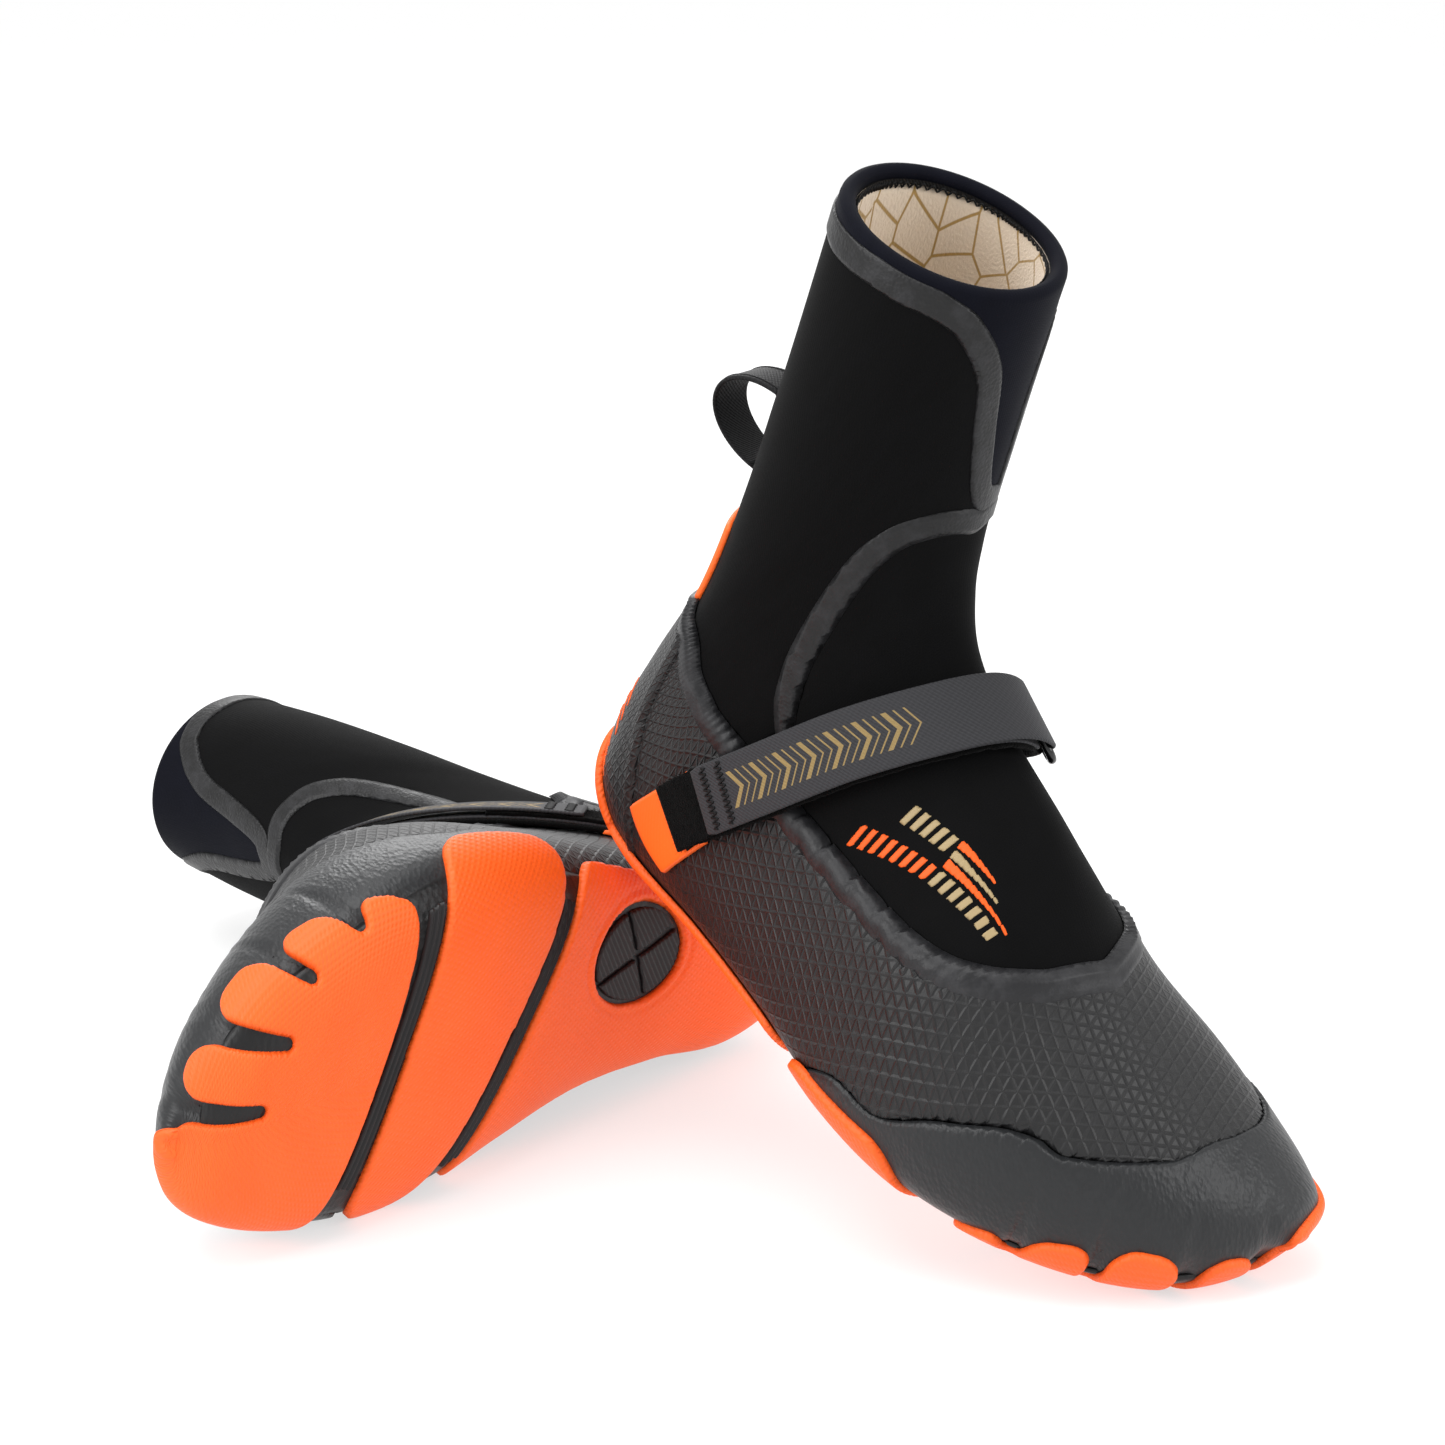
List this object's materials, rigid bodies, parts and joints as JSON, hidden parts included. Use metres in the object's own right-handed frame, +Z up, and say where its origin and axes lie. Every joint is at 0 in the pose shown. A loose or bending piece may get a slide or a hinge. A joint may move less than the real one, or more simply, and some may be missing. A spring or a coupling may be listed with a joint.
{
  "type": "pair of neoprene water-sport boots",
  "caption": "Pair of ankle-high neoprene boots with rubber shells, moulded split soles, instep straps with rings, seam tapes and heel pull loops, one lying and one leaning.",
  "frame": {"origin": "middle of the pair's footprint on the floor", "axes": "+Z up; the lying left boot's shaft points along +Y and its toes along -X; the leaning right boot's toes point along -Y"},
  "size_m": [0.2953, 0.5085, 0.3381],
  "materials": {
    "neoprene": "matt knitted nylon face on foam",
    "collar": "smooth fine jersey",
    "fleece": "brushed pile with thin printed lines",
    "binding": "overlocked stretch edge",
    "tape": "satin printed seam tape",
    "shell": "satin embossed moulded rubber",
    "outsole": "satin moulded rubber",
    "orange_rubber": "satin moulded rubber",
    "webbing": "twill webbing",
    "hook": "hook tape",
    "ring": "glossy moulded loop",
    "insole": "cloth-faced foam"
  },
  "bodies": {
    "left_boot": {"left_foot_sock": "neoprene", "left_vamp_panel": "neoprene", "left_calf_panel": "neoprene", "left_collar_panel": "collar", "left_foot_lining": "fleece", "left_shaft_lining": "fleece", "left_cuff_binding": "binding", "left_insole": "insole", "left_outsole": "outsole", "left_toe_cap": "shell", "left_foot_shell": "shell", "left_heel_counter": "shell", "left_topline_band": "tape", "left_forefoot_tread": "orange_rubber", "left_midfoot_tread": "orange_rubber", "left_heel_tread": "orange_rubber", "left_heel_grip": "outsole", "left_collar_tape": "tape", "left_vamp_tape": "tape", "left_strap_anchor": "orange_rubber", "left_strap_underlay": "webbing", "left_ring_keeper": "webbing", "left_hook_patch": "hook", "left_pull_tab": "orange_rubber"},
    "left_ring": {"left_strap_ring": "ring"},
    "left_strap": {"left_strap_flap": "webbing"},
    "left_strap_tip": {"left_strap_end": "webbing"},
    "left_pull": {"left_pull_loop": "webbing"},
    "right_boot": {"right_foot_sock": "neoprene", "right_vamp_panel": "neoprene", "right_calf_panel": "neoprene", "right_collar_panel": "collar", "right_foot_lining": "fleece", "right_shaft_lining": "fleece", "right_cuff_binding": "binding", "right_insole": "insole", "right_outsole": "outsole", "right_toe_cap": "shell", "right_foot_shell": "shell", "right_heel_counter": "shell", "right_topline_band": "tape", "right_forefoot_tread": "orange_rubber", "right_midfoot_tread": "orange_rubber", "right_heel_tread": "orange_rubber", "right_heel_grip": "outsole", "right_collar_tape": "tape", "right_vamp_tape": "tape", "right_strap_anchor": "orange_rubber", "right_strap_underlay": "webbing", "right_ring_keeper": "webbing", "right_hook_patch": "hook", "right_pull_tab": "orange_rubber"},
    "right_ring": {"right_strap_ring": "ring"},
    "right_strap": {"right_strap_flap": "webbing"},
    "right_strap_tip": {"right_strap_end": "webbing"},
    "right_pull": {"right_pull_loop": "webbing"}
  },
  "joints": [
    {"name": "boot_lift", "type": "slide", "parent": "left_boot", "child": "right_boot", "axis": [0, 0, 1], "range_m": [0, 0.12]},
    {"name": "right_ring_swivel", "type": "hinge", "parent": "right_boot", "child": "right_ring", "pos_m": [0.07382, -0.15285, 0.16492], "axis": [0.0848, 0.6369, 0.7663], "range_deg": [0, 25]},
    {"name": "right_strap_open", "type": "hinge", "parent": "right_ring", "child": "right_strap", "pos_m": [0.066, -0.15939, 0.17058], "axis": [0.0848, 0.6369, 0.7663], "range_deg": [0, 85]},
    {"name": "right_strap_peel", "type": "hinge", "parent": "right_strap", "child": "right_strap_tip", "pos_m": [0.01622, -0.10311, 0.1539], "axis": [0.1471, 0.4973, 0.855], "range_deg": [0, 65]},
    {"name": "right_pull_fold", "type": "hinge", "parent": "right_boot", "child": "right_pull", "pos_m": [0.05349, -0.06039, 0.23814], "axis": [-0.9979, 0.0342, -0.0543], "range_deg": [-3, 50], "stiffness_Nm_per_rad": 0.02},
    {"name": "left_ring_swivel", "type": "hinge", "parent": "left_boot", "child": "left_ring", "pos_m": [0.00645, 0.11355, 0.03704], "axis": [-0.877, -0.4474, 0.1754], "range_deg": [0, 25]},
    {"name": "left_strap_open", "type": "hinge", "parent": "left_ring", "child": "left_strap", "pos_m": [0.00355, 0.12132, 0.04522], "axis": [-0.877, -0.4474, 0.1754], "range_deg": [0, 85]},
    {"name": "left_strap_peel", "type": "hinge", "parent": "left_strap", "child": "left_strap_tip", "pos_m": [0.05336, 0.08337, 0.08998], "axis": [-0.7786, -0.5848, 0.2275], "range_deg": [0, 65]},
    {"name": "left_pull_fold", "type": "hinge", "parent": "left_boot", "child": "left_pull", "pos_m": [0.12199, 0.14356, 0.04552], "axis": [-0.113, 0.0663, -0.9914], "range_deg": [-3, 50], "stiffness_Nm_per_rad": 0.02}
  ]
}
